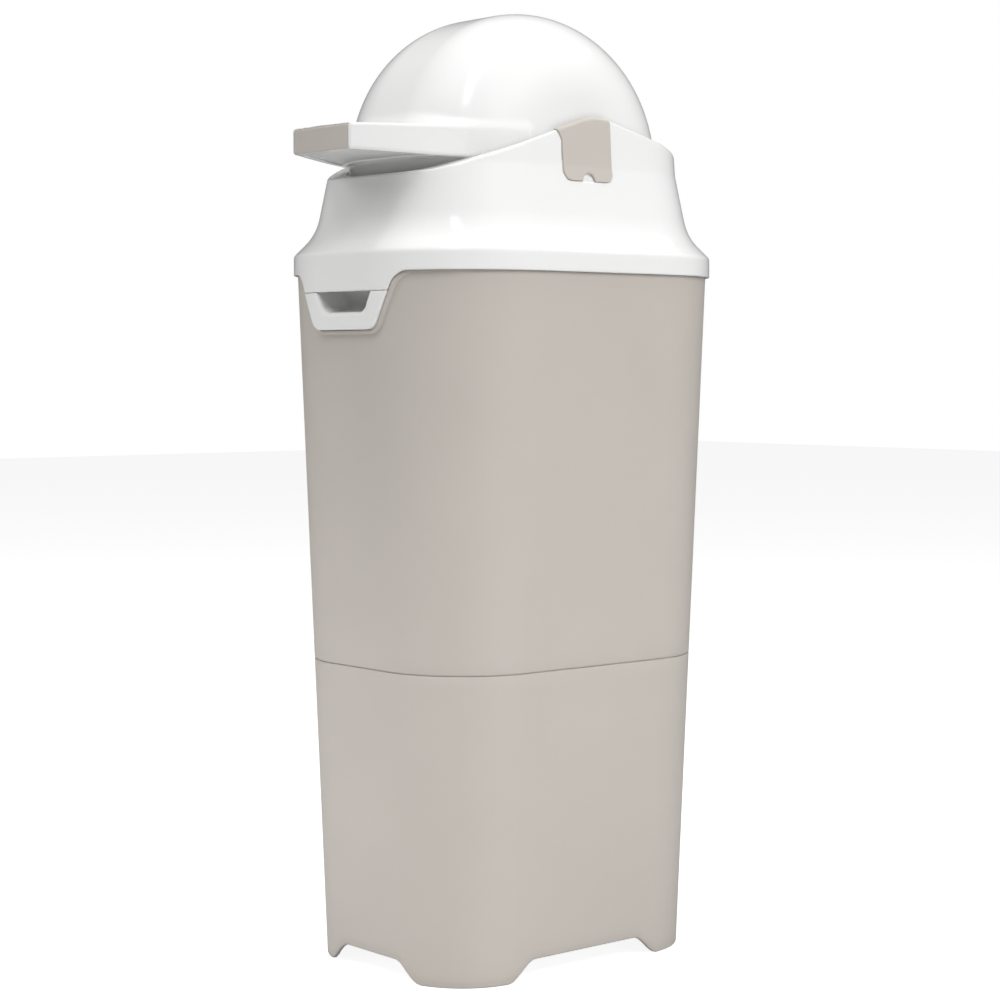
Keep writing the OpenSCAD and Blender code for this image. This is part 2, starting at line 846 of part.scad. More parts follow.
// Rubber washer between the drum's cheek and the lid
module axle_seal(s) {
    seal_t = drum_gap - 2 * slip;
    color(dark_rubber)
    difference() {
        bar_x(s > 0 ? drum_hw : -drum_hw - seal_t, s > 0 ? drum_hw + seal_t : -drum_hw,
            0, axis_z, hub_r + washer_w);
        bar_x(-far, far, 0, axis_z, axle_r + slip);
    }
}

module axle_seal_left() {
    axle_seal(-1);
}

module axle_seal_right() {
    axle_seal(1);
}

module piston_cup() {
    color(white)
    difference() {
        translate([0, 0, piston_z]) cylinder(h = piston_h, r = piston_r);
        translate([0, 0, piston_z + piston_wall]) cylinder(h = piston_h, r = piston_r - 2 * piston_wall);
        translate([0, 0, seal_z]) difference() {
            cylinder(h = seal_groove, r = piston_r + 1);
            translate([0, 0, -1]) cylinder(h = seal_groove + 2, r = piston_r - piston_wall);
        }
    }
}

module piston_weight() {
    color(steel)
    translate([0, 0, piston_z + piston_wall]) cylinder(h = weight_t, r = weight_r);
}

module piston_seal() {
    color(dark_rubber)
    translate([0, 0, seal_z]) difference() {
        cylinder(h = seal_groove, r = chamber_r - slip);
        translate([0, 0, -1]) cylinder(h = seal_groove + 2, r = piston_r - piston_wall);
    }
}

// Lid of the piston, with a rim that holds the weight down
module piston_cap() {
    seat = piston_z + piston_wall + weight_t;
    top = piston_z + piston_h;
    r = piston_r - 2 * piston_wall - fit;
    color(white) {
        translate([0, 0, top - piston_wall]) cylinder(h = piston_wall, r = r);
        translate([0, 0, seat]) difference() {
            cylinder(h = top - seat - piston_wall + thin, r = weight_r - weight_rim);
            translate([0, 0, -1]) cylinder(h = far, r = weight_r - weight_rim - weight_rim_t);
        }
    }
}

// Side view of a clip, grown by o: round lower corners, and a longer front edge on the roof
module clip_outline(o) {
    half = clip_w / 2 + o;
    low = axis_z - clip_low - o;
    top = ridge_z + far;
    polygon(concat(
        [for (a = [180 : 15 : 270]) [-half + clip_r + clip_r * cos(a), low + clip_r + clip_r * sin(a)]],
        [for (a = [270 : 15 : 360]) [half - clip_r + clip_r * cos(a), low + clip_r + clip_r * sin(a)]],
        [[half, top], [-half - clip_toe, top], [-half - clip_toe, ridge_z], [-half, ridge_z - clip_toe_h]]
    ));
}

// Space that a clip takes in the lid's wall and over its ridge, with c around it
module clip_seat(s, c) {
    intersection() {
        difference() {
            intersection() {
                side_form(s, clip_proud);
                under_roof(clip_proud);
            }
            intersection() {
                side_form(s, -clip_deep - c);
                under_roof(-clip_deep - c);
            }
        }
        along_x(-far, far) clip_outline(c);
    }
}

module clip(s) {
    inner = drum_hw + drum_gap;
    color(taupe)
    difference() {
        clip_seat(s, 0);
        bar_x(s > 0 ? 0 : -axle_end_x, s > 0 ? axle_end_x : 0, 0, axis_z, axle_r);
        translate([-inner, -far, 0]) cube([2 * inner, 2 * far, 2 * far]);
        // Finger notch in the foot
        along_x(s > 0 ? 0 : -far, s > 0 ? far : 0)
            translate([0, axis_z - clip_low]) circle(notch_r);
    }
}

module clip_left() {
    clip(-1);
}

module clip_right() {
    clip(1);
}

// Pin that a clip carries through the lid's wall into the drum
module axle(s) {
    inner = drum_hw - axle_grip;
    color(grey) bar_x(s > 0 ? inner : -axle_end_x, s > 0 ? axle_end_x : -inner, 0, axis_z, axle_r);
}

module axle_left() {
    axle(-1);
}

module axle_right() {
    axle(1);
}

lower_body();
upper_body();
bag_ring();
hinge_pin();
lid_cover();
lid_inner_frame();
lid_gasket();
lid_screws();
front_drum_seal();
rear_drum_seal();
drum_dome();
grip_tip();
handle_underplate();
drum_deck();
drum_screws();
chamber_tube();
mouth_ring();
bush_left();
bush_right();
axle_seal_left();
axle_seal_right();
piston_cup();
piston_weight();
piston_seal();
piston_cap();
clip_left();
axle_left();
clip_right();
axle_right();
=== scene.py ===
import json
import math

import bmesh
import bpy
import numpy as np
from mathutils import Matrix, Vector


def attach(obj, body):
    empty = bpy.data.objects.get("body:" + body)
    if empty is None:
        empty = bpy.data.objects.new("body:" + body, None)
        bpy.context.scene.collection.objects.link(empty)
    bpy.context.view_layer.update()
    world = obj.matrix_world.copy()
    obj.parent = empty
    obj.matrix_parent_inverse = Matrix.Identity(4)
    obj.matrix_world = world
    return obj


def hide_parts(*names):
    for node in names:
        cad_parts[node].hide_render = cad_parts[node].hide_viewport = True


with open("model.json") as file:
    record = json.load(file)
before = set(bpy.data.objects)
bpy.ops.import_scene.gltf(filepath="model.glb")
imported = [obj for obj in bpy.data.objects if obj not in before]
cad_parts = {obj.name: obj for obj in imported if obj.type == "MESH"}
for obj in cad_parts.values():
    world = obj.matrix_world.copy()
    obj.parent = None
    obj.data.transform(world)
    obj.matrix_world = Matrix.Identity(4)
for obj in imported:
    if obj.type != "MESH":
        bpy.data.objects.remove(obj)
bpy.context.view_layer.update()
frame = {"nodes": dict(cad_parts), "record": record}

# ---------------------------------------------------------------- sizes, mm and degrees
# Rounded rectangles in plan: half width, half depth and corner radius
RIM_Z, RIM = 516.7, (118.2, 150.4, 87.0)
BASE = (94.5, 128.5, 58.5)
SKIRT = (121.2, 153.4, 90.0)

# Body: walls, the seam with its tongue, the floor panel, the arches and the lip the feet stand on
WALL, SEAM_Z, SEAM_GAP, TONGUE_H, TONGUE_T = 2.5, 227.7, 0.7, 12.0, 2
FLOOR_Z, ARCH_H, ARCH_W, SIDE_ARCH_W, ARCH_RUN = 17.0, 15.0, 58.0, 99.0, 26.0
FRONT_FROM, SIDE_FROM, FOOT_LIP, LIP_FADE, LIP_T = 90, 80, 9.0, 10, 3

# Pull, finger pocket and tab, whose sides lean alike, and the raised rim on the body round them
SPLIT_Z, PULL_W, PULL_LOW_W, PULL_H, PULL_R = 503.0, 99.0, 70.0, 27.8, 12.0
POCKET_HALF, POCKET_LOW, POCKET_R, POCKET_DEPTH, POCKET_DRAFT = 32.0, 487.7, 10.0, 27.0, 0.1
TAB_RUN, PULL_PROUD, RING_T, OPENING_IN = 17.0, 3.0, 2.0, 7
RIM_PROUD, RIM_FADE = 2.2, 12
LEAN = (PULL_W - PULL_LOW_W) / 2 / PULL_H
TILT = math.atan(LEAN)
TAB_END = PULL_W / 2 + TAB_RUN
TAB_R = (TAB_RUN - LEAN * (RIM_Z - SPLIT_Z)) / (1 / math.cos(TILT) - LEAN)

# Bag ring: the upstand's two faces in from the rim, heights, and where its skirt stops at the pocket
UPSTAND_OUT, UPSTAND_IN, UPSTAND_H, FLANGE_T = 3.4, 5.4, 7.3, 2
RING_SKIRT_H, SKIRT_STOP, SKIRT_STOP_RUN = 12, 42, 6

# Lid: the flare between its two slopes, the wall above it as heights and insets, and the inside
FLARE_Z, FLARE_EASE, FLARE_R, FLARE_RISE, FLARE_FROM, FLARE_TO = 531.2, 7, 40, 29.1, 42, 79
EAVE_Z, LID_TOP = 594.5, 633.5
UPPER_WALL = ((EAVE_Z, 26.6), (LID_TOP, 29.0), (700, 31.4))
PLATE_TOP, WELL_TOP, LID_WALL, FLANK_X = 528.5, 580.7, 2.5, 60

# Roof line: a round ridge, the slopes before and behind it, and the flatter lip at the front
RIDGE_Z, RIDGE_Y, RIDGE_R, FRONT_FALL, REAR_FALL = 631.0, 13.0, 60.0, 19, 14
LIP_Y, LIP_FALL, ROOF_COS = -118, 8, 0.95

# Drum with its chamber and bushes
AXIS_Z, DRUM_R, DRUM_HW, DRUM_EDGE = 597.7, 115.46, 86.5, 68.0
DRUM_GAP, DRUM_BOTTOM, DRUM_WALL, CHAMBER_OUT, CHAMBER_TOP = 2.5, 588.0, 2.5, 70.2, 683.2
AXLE_R, BUSH_R, BUSH_L = 6.0, 8.5, 12.0

# Handle: its plan, the grip, the recess below, and the fillets between its plate and the dome
HANDLE_Z, HANDLE_T, HANDLE_TIP_W, HANDLE_REACH, HANDLE_BOW = 602.0, 19.0, 69.0, 172.0, 2.0
HANDLE_WAIST, HANDLE_ROOT = (62, -124.05), (DRUM_HW - 0.5, -50)
GRIP_T, GRIP_SIDE, GRIP_COVER, RIM_BAND, FIT = 3.0, 1.6, 1.0, 6.0, 0.15
UNDER_SLOPE, UNDER_FROM, UNDER_RUN = 0.055, 165, 75
RECESS_REAR, PANEL_UP, PANEL_T, PANEL_GAP = 5.0, 1.0, 2, 0.9
COVE_LOW, COVE_REAR, COVE_R, COVE_FROM, COVE_RUN = 3, 6, 13.0, -94, 16

# Hinge at the rear, and the clips over the ridge
HINGE_Y, HINGE_Z, KNUCKLE_R, KNUCKLE_W, EAR_W, EAR_H = 167.0, 520.0, 7.0, 39.0, 14.0, 30
CLIP_W, CLIP_FOOT, CLIP_R, CLIP_TOE, CLIP_TOE_H = 48.0, 584.0, 7.0, 10.0, 18.0
CLIP_PROUD, CLIP_DEEP, NOTCH_R = 0.9, 1.2, 6.0
FAR = 400


# ---------------------------------------------------------------- meshes
def mesh_object(name, verts, faces, smooth=True):
    me = bpy.data.meshes.new(name)
    me.from_pydata((np.asarray(verts, float) * 0.001).tolist(), [], faces)
    me.validate()
    if smooth:
        me.polygons.foreach_set("use_smooth", [True] * len(me.polygons))
    ob = bpy.data.objects.new(name, me)
    bpy.context.scene.collection.objects.link(ob)
    return ob


def sharpen(ob, degrees):
    """Marks the edges that turn by more than this as sharp, so that flat faces stay flat."""
    bm = bmesh.new()
    bm.from_mesh(ob.data)
    bmesh.ops.recalc_face_normals(bm, faces=bm.faces)
    for e in bm.edges:
        e.smooth = len(e.link_faces) == 2 and e.calc_face_angle(0.0) < math.radians(degrees)
    bm.to_mesh(ob.data)
    bm.free()
    return ob


def ring_faces(rows, cols, first=0, closed_rows=True):
    """Quads of a grid whose columns close up, and whose rows do too if asked."""
    out = []
    for i in range(rows if closed_rows else rows - 1):
        a, b = first + i * cols, first + ((i + 1) % rows) * cols
        out += [(a + j, a + (j + 1) % cols, b + (j + 1) % cols, b + j) for j in range(cols)]
    return out


def join(*parts):
    """One mesh from several (verts, faces) pairs."""
    verts, faces = [], []
    for v, f in parts:
        n = len(verts)
        verts += [tuple(p) for p in v]
        faces += [tuple(i + n for i in q) for q in f]
    return verts, faces


def spaced(*stops):
    """Grid lines from (place, step) pairs: each step is kept up to the next place."""
    out = []
    for (a, h), (b, _) in zip(stops, stops[1:]):
        n = max(1, round((b - a) / h))
        out += [a + (b - a) * i / n for i in range(n)]
    return np.array(out + [stops[-1][0]], np.float32)


def prism(outline, x0, x1, bevel=0.8):
    """A side profile in Y and Z, extruded along X, with its two rims eased."""
    pts = np.asarray(outline, float)
    centre = pts.mean(0)
    reach = np.linalg.norm(pts - centre, axis=1)
    inner = centre + (pts - centre) * (1 - bevel / np.maximum(reach, 1))[:, None]
    rows = [(x0, inner), (x0 + bevel, pts), (x1 - bevel, pts), (x1, inner)]
    verts = [(x, p[0], p[1]) for x, ring in rows for p in ring]
    n = len(pts)
    faces = ring_faces(4, n, closed_rows=False)
    faces += [tuple(range(n - 1, -1, -1)), tuple(range(3 * n, 4 * n))]
    return verts, faces


def smax(a, b, r):
    """Larger of two distances, with the edge between them rounded to radius r."""
    return np.minimum(-r, np.maximum(a, b)) + np.sqrt(np.maximum(a + r, 0) ** 2 + np.maximum(b + r, 0) ** 2)


def smin(a, b, r):
    """Smaller of two distances, with a fillet of radius r in the corner between them."""
    return np.maximum(r, np.minimum(a, b)) - np.sqrt(np.maximum(r - a, 0) ** 2 + np.maximum(r - b, 0) ** 2)


def nets(name, f, ax, flip_x=False):
    """Surface of f = 0 as quads between the grid lines ax, each point brought onto the surface."""
    h = min(float(np.diff(a).min()) for a in ax)
    grid = np.broadcast_to(f(ax[0][:, None, None], ax[1][None, :, None], ax[2][None, None, :]),
                           [len(a) for a in ax]).astype(np.float32)
    inside = grid < 0
    n = [s - 1 for s in grid.shape]
    corner = lambda g, c: g[c[0]:c[0] + n[0], c[1]:c[1] + n[1], c[2]:c[2] + n[2]]
    corners = [(i, j, k) for i in (0, 1) for j in (0, 1) for k in (0, 1)]
    count = sum(corner(inside, c).astype(np.int8) for c in corners)
    cell = np.argwhere((count > 0) & (count < 8))
    index = np.full(n, -1, np.int64)
    index[tuple(cell.T)] = np.arange(len(cell))
    total, hits = np.zeros((len(cell), 3)), np.zeros(len(cell))
    for a in corners:
        for axis in range(3):
            if a[axis]:
                continue
            b = list(a)
            b[axis] = 1
            fa = grid[tuple((cell + a).T)].astype(float)
            fb = grid[tuple((cell + b).T)].astype(float)
            cross = (fa < 0) != (fb < 0)
            t = np.where(cross, fa / np.where(cross, fa - fb, 1), 0)
            p = np.tile(np.array(a, float), (len(cell), 1))
            p[:, axis] += t
            total[cross] += p[cross]
            hits[cross] += 1
    place = cell + total / hits[:, None]
    pts = np.stack([np.interp(place[:, k], np.arange(len(a)), a) for k, a in enumerate(ax)], 1)
    for _ in range(4):
        x, y, z = pts.T
        e = 0.05
        v = f(x, y, z)
        g = np.stack([f(x + e, y, z) - f(x - e, y, z), f(x, y + e, z) - f(x, y - e, z),
                      f(x, y, z + e) - f(x, y, z - e)], 1) / (2 * e)
        step = (v / np.maximum((g ** 2).sum(1), 0.25))[:, None] * g
        size = np.linalg.norm(step, axis=1, keepdims=True)
        pts = pts - step * np.minimum(1, 0.4 * h / np.maximum(size, 1e-9))
    faces = []
    for axis in range(3):
        o = [k for k in range(3) if k != axis]
        s0, s1 = [slice(None)] * 3, [slice(None)] * 3
        s0[axis], s1[axis] = slice(0, -1), slice(1, None)
        a, b = inside[tuple(s0)], inside[tuple(s1)]
        e = np.argwhere(a != b)
        ok = (e[:, o[0]] > 0) & (e[:, o[1]] > 0) & (e[:, o[0]] < n[o[0]]) & (e[:, o[1]] < n[o[1]])
        e = e[ok]
        up = a[tuple(e.T)]
        quad = []
        for d0, d1 in ((-1, -1), (0, -1), (0, 0), (-1, 0)):
            c = e.copy()
            c[:, o[0]] += d0
            c[:, o[1]] += d1
            quad.append(index[tuple(c.T)])
        quad = np.stack(quad, 1)
        turn = up if axis != 1 else ~up
        quad[~turn] = quad[~turn][:, ::-1]
        faces.append(quad)
    faces = np.concatenate(faces)
    faces = faces[(faces >= 0).all(1)]
    if flip_x:
        pts[:, 0] *= -1
        faces = faces[:, ::-1]
    me = bpy.data.meshes.new(name)
    me.vertices.add(len(pts))
    me.vertices.foreach_set("co", (pts * 0.001).astype(np.float32).ravel())
    me.loops.add(faces.size)
    me.loops.foreach_set("vertex_index", faces.astype(np.int32).ravel())
    me.polygons.add(len(faces))
    me.polygons.foreach_set("loop_start", np.arange(0, faces.size, 4, dtype=np.int32))
    me.update(calc_edges=True)
    me.validate()
    me.polygons.foreach_set("use_smooth", np.ones(len(me.polygons), bool))
    ob = bpy.data.objects.new(name, me)
    bpy.context.scene.collection.objects.link(ob)
    return ob


# ---------------------------------------------------------------- forms
def rounded_rect(x, y, size):
    """Signed distance in plan from a rounded rectangle, given as half width, half depth and radius."""
    hw, hd, r = size
    qx, qy = np.abs(x) - (hw - r), np.abs(y) - (hd - r)
    return np.sqrt(np.maximum(qx, 0) ** 2 + np.maximum(qy, 0) ** 2) + np.minimum(np.maximum(qx, qy), 0) - r


def body_size(z):
    t = z / RIM_Z
    return [b + (a - b) * t for a, b in zip(RIM, BASE)]


def body_out(x, y, z):
    """Distance outside the tapered body."""
    return rounded_rect(x, y, body_size(z))


def plan(size, corner=64, across=36, along=64):
    """Points round a rounded rectangle, always as many, and the directions straight out of it."""
    hw, hd, r = size
    cx, cy = hw - r, hd - r
    quarters = ((1, 1, 0, across), (-1, 1, 90, along), (-1, -1, 180, across), (1, -1, 270, along))
    points, normals = [], []
    for sx, sy, start, count in quarters:
        for i in range(corner):
            a = math.radians(start + 90 * i / corner)
            points.append((sx * cx + r * math.cos(a), sy * cy + r * math.sin(a)))
            normals.append((math.cos(a), math.sin(a)))
        end = math.radians(start + 90)
        nx, ny = round(math.cos(end)), round(math.sin(end))
        for i in range(count):
            t = 1 - 2 * i / count
            points.append((nx * hw if nx else sx * cx * t, ny * hd if ny else sy * cy * t))
            normals.append((nx, ny))
    return np.array(points, float), np.array(normals, float)


PLAN_BASE, NORMALS = plan(BASE)
PLAN_RIM = plan(RIM)[0]


def body_ring(o, z):
    """Ring of points on the tapered body grown by o, at height z or at one height for each point."""
    z = np.broadcast_to(np.asarray(z, float), len(NORMALS))
    t = (z / RIM_Z)[:, None]
    xy = PLAN_BASE * (1 - t) + PLAN_RIM * t + np.broadcast_to(o, len(NORMALS))[:, None] * NORMALS
    return np.column_stack([xy, z])


def arch_height(x, y):
    """Height of the body's lower edge above the floor: the arches between the feet."""
    def one(v, w):
        t = np.clip((np.abs(v) - w / 2) / ARCH_RUN, 0, 1)
        return ARCH_H * (1 + np.cos(math.pi * t)) / 2
    front = np.where(np.abs(y) > FRONT_FROM, one(x, ARCH_W), 0)
    side = np.where(np.abs(x) > SIDE_FROM, one(y, SIDE_ARCH_W), 0)
    return np.maximum(front, side)


def seg_distance(px, py, poly):
    """Signed distance to a closed polygon: negative inside."""
    poly = np.asarray(poly, float)
    px, py = np.broadcast_arrays(px, py)
    best = np.full(px.shape, 1e9)
    odd = np.zeros(px.shape, bool)
    for (ax, ay), (bx, by) in zip(poly, np.roll(poly, -1, 0)):
        dx, dy = bx - ax, by - ay
        t = np.clip(((px - ax) * dx + (py - ay) * dy) / (dx * dx + dy * dy + 1e-12), 0, 1)
        best = np.minimum(best, (px - ax - t * dx) ** 2 + (py - ay - t * dy) ** 2)
        if ay != by:
            odd ^= ((ay > py) != (by > py)) & (px < ax + (py - ay) * dx / dy)
    return np.where(odd, -1, 1) * np.sqrt(best)


def lid_profile():
    """Heights, how far the lid's wall stands in from the skirt at each, and a scale for its slope."""
    z = np.arange(495, 645, 0.1)
    h = z - FLARE_Z
    a0, a1 = math.radians(FLARE_FROM), math.radians(FLARE_TO)
    cosine = math.cos(a0) - np.clip(h - FLARE_EASE, 0, FLARE_RISE) / FLARE_R
    turn = np.arccos(np.clip(cosine, math.cos(a1), 1))
    inset = np.where(h < FLARE_EASE, np.clip(h, 0, FLARE_EASE),
                     FLARE_EASE + FLARE_R * (np.sin(turn) - math.sin(a0)))
    top = FLARE_EASE + FLARE_R * (math.cos(a0) - math.cos(a1))
    top_inset = FLARE_EASE + FLARE_R * (math.sin(a1) - math.sin(a0))
    heights, insets = zip((FLARE_Z + top, top_inset), *UPPER_WALL)
    inset = np.where(h > top, np.interp(z, heights, insets), inset)
    # The corners of the profile are eased over about a millimetre
    half = 40
    kernel = np.exp(-0.5 * (np.arange(-half, half + 1) / 10.0) ** 2)
    inset = np.convolve(np.pad(inset, half, mode="edge"), kernel / kernel.sum(), mode="valid")
    return z, inset, np.sqrt(1 + np.gradient(inset, z) ** 2)


LID_Z, LID_INSET, LID_SLOPE = lid_profile()


def lid_wall_out(x, y, z):
    """Distance outside the lid's skirt, flare and walls."""
    return (rounded_rect(x, y, SKIRT) + np.interp(z, LID_Z, LID_INSET)) / np.interp(z, LID_Z, LID_SLOPE)


def roof(y):
    """Height of the roof line: rising from the front lip over a round ridge, and falling to the rear."""
    a0, a1 = math.radians(-FRONT_FALL), math.radians(REAR_FALL)
    centre_z = RIDGE_Z - RIDGE_R
    y0, z0 = RIDGE_Y + RIDGE_R * math.sin(a0), centre_z + RIDGE_R * math.cos(a0)
    y1, z1 = RIDGE_Y + RIDGE_R * math.sin(a1), centre_z + RIDGE_R * math.cos(a1)
    arc = centre_z + np.sqrt(np.maximum(RIDGE_R * RIDGE_R - (y - RIDGE_Y) ** 2, 0))
    lip_z = z0 - (y0 - LIP_Y) * math.tan(-a0)
    front = z0 - (y0 - y) * math.tan(-a0)
    lip = lip_z - (LIP_Y - y) * math.tan(math.radians(LIP_FALL))
    rear = z1 - (y - y1) * math.tan(a1)
    return np.where(y < LIP_Y, lip, np.where(y < y0, front, np.where(y > y1, rear, arc)))


def roof_out(y, z):
    """Distance above the roof line, scaled for its slope."""
    return (z - roof(y)) * ROOF_COS


def drum_out(x, y, z, o=0.0):
    """Distance outside the drum, grown by o: a cylinder along X with widely rounded rims."""
    rho = np.sqrt(y * y + (z - AXIS_Z) ** 2)
    qx, qr = np.abs(x) - (DRUM_HW - DRUM_EDGE), rho - (DRUM_R - DRUM_EDGE)
    d = np.sqrt(np.maximum(qx, 0) ** 2 + np.maximum(qr, 0) ** 2) + np.minimum(np.maximum(qx, qr), 0)
    return d - DRUM_EDGE - o


def d_corner(half, low, r, o, steps=12):
    """Lower corner of a D grown by o: round, below a side that leans as the pull's does."""
    x = half - LEAN * (SPLIT_Z - low - r) - r / math.cos(TILT)
    a = np.radians(-90) + (math.pi / 2 - TILT) * np.linspace(0, 1, steps)
    return list(zip(x + (r + o) * np.cos(a), low + r + (r + o) * np.sin(a)))


def tab_curve(o, steps=16):
    """Hollow curve beside the tab, grown by o: from the leaning side to level under the skirt."""
    a = math.pi - TILT - (math.pi / 2 - TILT) * np.linspace(0, 1, steps)
    return list(zip(TAB_END + (TAB_R - o) * np.cos(a), RIM_Z - TAB_R + (TAB_R - o) * np.sin(a)))


def both_halves(right):
    """Outline from its right half, listed upwards, and that half's mirror image."""
    return right + [(-x, z) for x, z in right[::-1]]


def boss_side(o):
    """Right half of the outline of pull and tab on the body, grown by o and listed upwards."""
    corner, curve = d_corner(PULL_W / 2, SPLIT_Z - PULL_H, PULL_R, o), tab_curve(o)
    (x0, z0), (x1, z1) = corner[-1], curve[0]
    line = [(x0 + (x1 - x0) * t, z0 + (z1 - z0) * t) for t in np.linspace(0, 1, 10)[1:-1]]
    return corner + line + curve


# Outlines in X and Z of the pull with the tab, of the pocket and of all that lies above the lid's foot
BOSS = both_halves(boss_side(0) + [(TAB_END, RIM_Z + 1)])
POCKET = both_halves(d_corner(POCKET_HALF, POCKET_LOW, POCKET_R, 0)
                     + [(POCKET_HALF + LEAN * (RIM_Z + 10 - SPLIT_Z), RIM_Z + 10)])
LID_FOOT = both_halves([(PULL_W / 2, SPLIT_Z)] + tab_curve(0) + [(FAR, RIM_Z), (FAR, LID_TOP + FAR)])
# Outline in Y and Z of a clip, open upwards, with its toe towards the front
CLIP_ARC = [(CLIP_W / 2 - CLIP_R + CLIP_R * math.cos(a), CLIP_FOOT + CLIP_R + CLIP_R * math.sin(a))
            for a in np.radians(np.linspace(270, 360, 10))]
CLIP = ([(-y, z) for y, z in CLIP_ARC[::-1]] + CLIP_ARC
        + [(CLIP_W / 2, LID_TOP + FAR), (-CLIP_W / 2 - CLIP_TOE, LID_TOP + FAR),
           (-CLIP_W / 2 - CLIP_TOE, RIDGE_Z), (-CLIP_W / 2, RIDGE_Z - CLIP_TOE_H)])


# ---------------------------------------------------------------- body
def front_point(x, z, h):
    """Point on the body's front, h proud of it."""
    hw, hd, r = body_size(z)
    return x, -(hd - r + math.sqrt((r + h) ** 2 - max(abs(x) - (hw - r), 0) ** 2)), z


def lower_shell():
    """Outer wall, foot lip, inner wall and tongue as one closed loft, and the floor panel.

    Each row is a distance out from the body's outer face and a height. The lip under the feet
    fades out beside the arches.
    """
    low = arch_height(*PLAN_BASE.T)
    beyond = [(np.abs(v) - w / 2 - ARCH_RUN) / LIP_FADE for v, w in zip(PLAN_BASE.T, (ARCH_W, SIDE_ARCH_W))]
    lip = WALL + 0.2 + (FOOT_LIP - WALL) * np.clip(np.minimum(*beyond), 0, 1)
    edge, top = 1.2, SEAM_Z - 0.6
    out, inside = -(WALL + FIT), -(WALL + FIT + TONGUE_T)
    foot, under = low + edge, low + LIP_T
    inner_top = SEAM_Z - TONGUE_H - TONGUE_T
    tongue_top = SEAM_Z + TONGUE_H
    rows = [(-lip, low), (-edge, low), (-0.35, low + 0.35)]
    rows += [(0, foot + (top - foot) * t) for t in np.linspace(0, 1, 30)]
    rows += [(-0.18, SEAM_Z - 0.18), (-0.6, SEAM_Z), (out, SEAM_Z), (out, tongue_top - 0.5),
             (out - 0.4, tongue_top), (inside + 0.4, tongue_top), (inside, tongue_top - 0.5),
             (inside, SEAM_Z - TONGUE_H)]
    rows += [(-WALL, inner_top + (under - inner_top) * t) for t in np.linspace(0, 1, 12)]
    rows += [(-lip, low + LIP_T - 0.3)]
    wall = np.concatenate([body_ring(o, z) for o, z in rows])
    n = len(NORMALS)
    panel = np.concatenate([body_ring(0.1 - WALL, z) for z in (FLOOR_Z, FLOOR_Z + WALL)])
    caps = [tuple(range(n - 1, -1, -1)), tuple(range(n, 2 * n))]
    parts = join((wall, ring_faces(len(rows), n)), (panel, ring_faces(2, n, closed_rows=False) + caps))
    return sharpen(mesh_object("lower_shell", *parts), 50)


